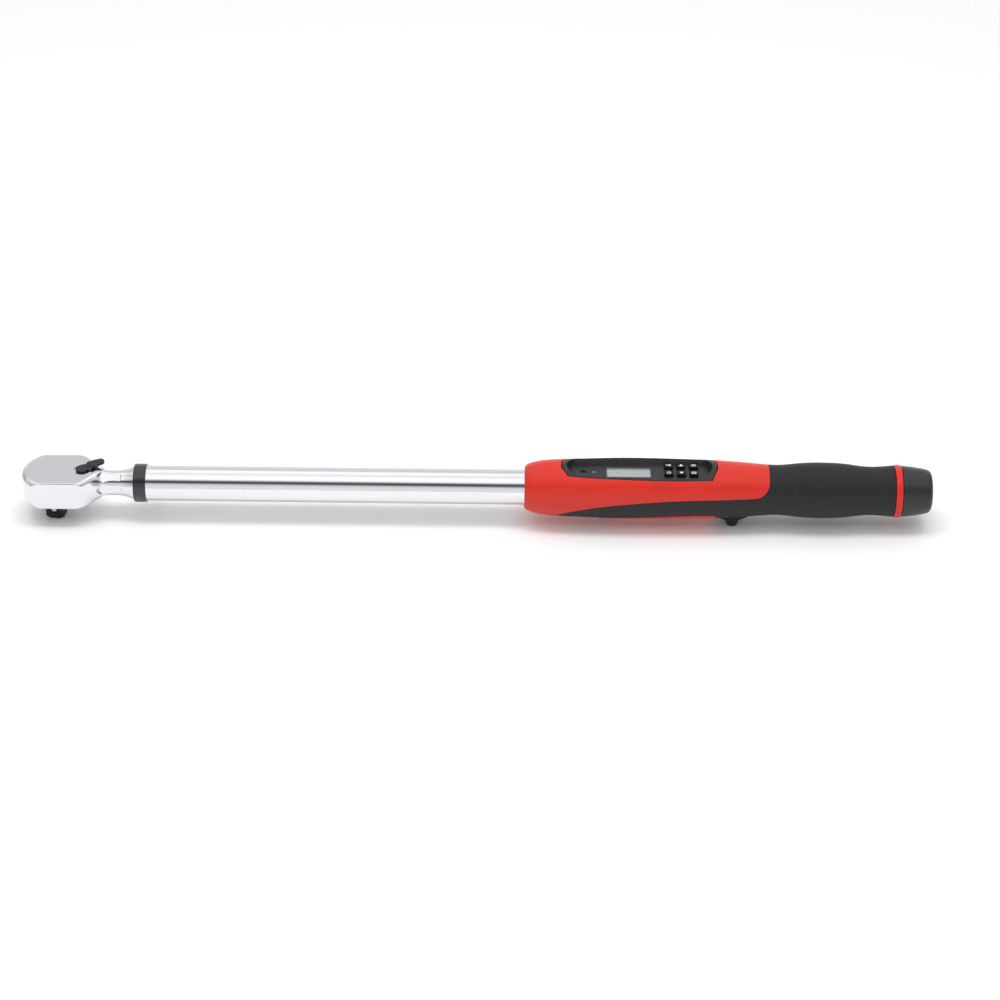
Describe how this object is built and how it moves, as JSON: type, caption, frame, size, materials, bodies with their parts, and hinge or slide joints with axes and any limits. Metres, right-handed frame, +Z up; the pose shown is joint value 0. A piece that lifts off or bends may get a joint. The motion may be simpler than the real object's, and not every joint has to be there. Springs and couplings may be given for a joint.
{
  "type": "torque wrench",
  "caption": "Electronic ratchet torque wrench with square drive, reversing lever, long tube, display handle, rubber grip and screwed battery cap.",
  "frame": {"origin": "centre of the drive square's end face", "axes": "+X along the wrench from the drive axis to the butt, +Z up out of the display, the drive square points down -Z"},
  "size_m": [0.648, 0.0436, 0.0481],
  "materials": {
    "chrome_head": "satin chrome on forged steel",
    "chrome_tube": "polished chrome",
    "black_oxide": "black oxide",
    "black_collar": "semi gloss black",
    "lever_black": "gunmetal, cast",
    "bright_steel": "ground",
    "spring_steel": "drawn wire",
    "red_plastic": "satin moulded",
    "black_rubber": "fine matte",
    "black_plastic": "moulded",
    "key_black": "silicone",
    "clear_window": "clear",
    "lcd_face": "display film",
    "white_plastic": "moulded",
    "board_green": "solder resist",
    "contact_brass": "stamped",
    "gauge_film": "polyimide film",
    "cell_wrap": "plain wrap",
    "cable_black": "smooth",
    "led_lens": "tinted"
  },
  "bodies": {
    "wrench": {"ratchet_head": "chrome_head", "cover_plate": "bright_steel", "snap_ring": "spring_steel", "front_collar": "black_collar", "main_tube": "chrome_tube", "shank_pin": "bright_steel", "measuring_beam": "bright_steel", "strain_gauges": "gauge_film", "gauge_cable": "cable_black", "handle_spine": "bright_steel", "upper_housing": "red_plastic", "lower_housing": "red_plastic", "housing_screws": "black_oxide", "display_bezel": "black_plastic", "lcd_window": "clear_window", "lcd_panel": "lcd_face", "lcd_holder": "white_plastic", "main_board": "board_green", "main_chip": "black_plastic", "cable_socket": "white_plastic", "key_switches": "black_plastic", "board_screws": "bright_steel", "buzzer": "black_plastic", "indicator_led": "led_lens", "grip_overmould": "black_rubber", "rest_foot": "black_rubber", "grip_core": "black_plastic", "battery_front": "cell_wrap", "battery_rear": "cell_wrap", "front_contact": "contact_brass", "accent_ring": "red_plastic"},
    "drive": {"drive_gear": "black_oxide", "detent_spring": "spring_steel"},
    "ball": {"detent_ball": "bright_steel"},
    "lever": {"reverse_lever": "lever_black", "plunger_spring": "spring_steel", "lever_clip": "spring_steel"},
    "plunger": {"lever_plunger": "bright_steel"},
    "pawl": {"pawl": "bright_steel"},
    "cap_carrier": {"cap_contact": "contact_brass", "battery_spring": "spring_steel"},
    "cap": {"end_cap": "black_plastic", "cap_o_ring": "cable_black"},
    "key_power_cap": {"key_power": "key_black"},
    "key_up_cap": {"key_up": "key_black"},
    "key_down_cap": {"key_down": "key_black"},
    "key_set_cap": {"key_set": "key_black"},
    "key_units_cap": {"key_units": "key_black"},
    "key_memory_cap": {"key_memory": "key_black"}
  },
  "joints": [
    {"name": "drive_spin", "type": "hinge", "parent": "wrench", "child": "drive", "pos_m": [0, 0, 0], "axis": [0, 0, 1], "continuous": true},
    {"name": "ball_press", "type": "slide", "parent": "drive", "child": "ball", "axis": [0.1392, 0.9903, 0], "range_m": [0, 0.001], "stiffness_N_per_m": 600, "springref_m": -0.002, "deforming": ["detent_spring"]},
    {"name": "lever_turn", "type": "hinge", "parent": "wrench", "child": "lever", "pos_m": [0.0211, 0, 0.0273], "axis": [0, 0, 1], "range_deg": [-60, 0]},
    {"name": "plunger_press", "type": "slide", "parent": "lever", "child": "plunger", "axis": [0.866, 0.5, 0], "range_m": [0, 0.0009], "stiffness_N_per_m": 300, "springref_m": -0.001, "deforming": ["plunger_spring"]},
    {"name": "pawl_rock", "type": "hinge", "parent": "wrench", "child": "pawl", "pos_m": [0.0141, 0, 0.0273], "axis": [0, 0, 1], "range_deg": [0, 10]},
    {"name": "key_power_press", "type": "slide", "parent": "wrench", "child": "key_power_cap", "axis": [0, 0, -1], "range_m": [0, 0.0008], "stiffness_N_per_m": 300, "springref_m": -0.001},
    {"name": "key_up_press", "type": "slide", "parent": "wrench", "child": "key_up_cap", "axis": [0, 0, -1], "range_m": [0, 0.0008], "stiffness_N_per_m": 300, "springref_m": -0.001},
    {"name": "key_down_press", "type": "slide", "parent": "wrench", "child": "key_down_cap", "axis": [0, 0, -1], "range_m": [0, 0.0008], "stiffness_N_per_m": 300, "springref_m": -0.001},
    {"name": "key_set_press", "type": "slide", "parent": "wrench", "child": "key_set_cap", "axis": [0, 0, -1], "range_m": [0, 0.0008], "stiffness_N_per_m": 300, "springref_m": -0.001},
    {"name": "key_units_press", "type": "slide", "parent": "wrench", "child": "key_units_cap", "axis": [0, 0, -1], "range_m": [0, 0.0008], "stiffness_N_per_m": 300, "springref_m": -0.001},
    {"name": "key_memory_press", "type": "slide", "parent": "wrench", "child": "key_memory_cap", "axis": [0, 0, -1], "range_m": [0, 0.0008], "stiffness_N_per_m": 300, "springref_m": -0.001},
    {"name": "cap_travel", "type": "slide", "parent": "wrench", "child": "cap_carrier", "axis": [1, 0, 0], "range_m": [0, 0.00601], "deforming": ["battery_spring"]},
    {"name": "cap_turn", "type": "hinge", "parent": "cap_carrier", "child": "cap", "pos_m": [0.61, 0, 0.0273], "axis": [1, 0, 0], "range_deg": [0, 1080]}
  ],
  "couplings": [
    {"joint": "pawl_rock", "follows": "lever_turn", "ratio": -0.16667},
    {"joint": "cap_travel", "follows": "cap_turn", "m_per_rad": 0.00031831}
  ]
}
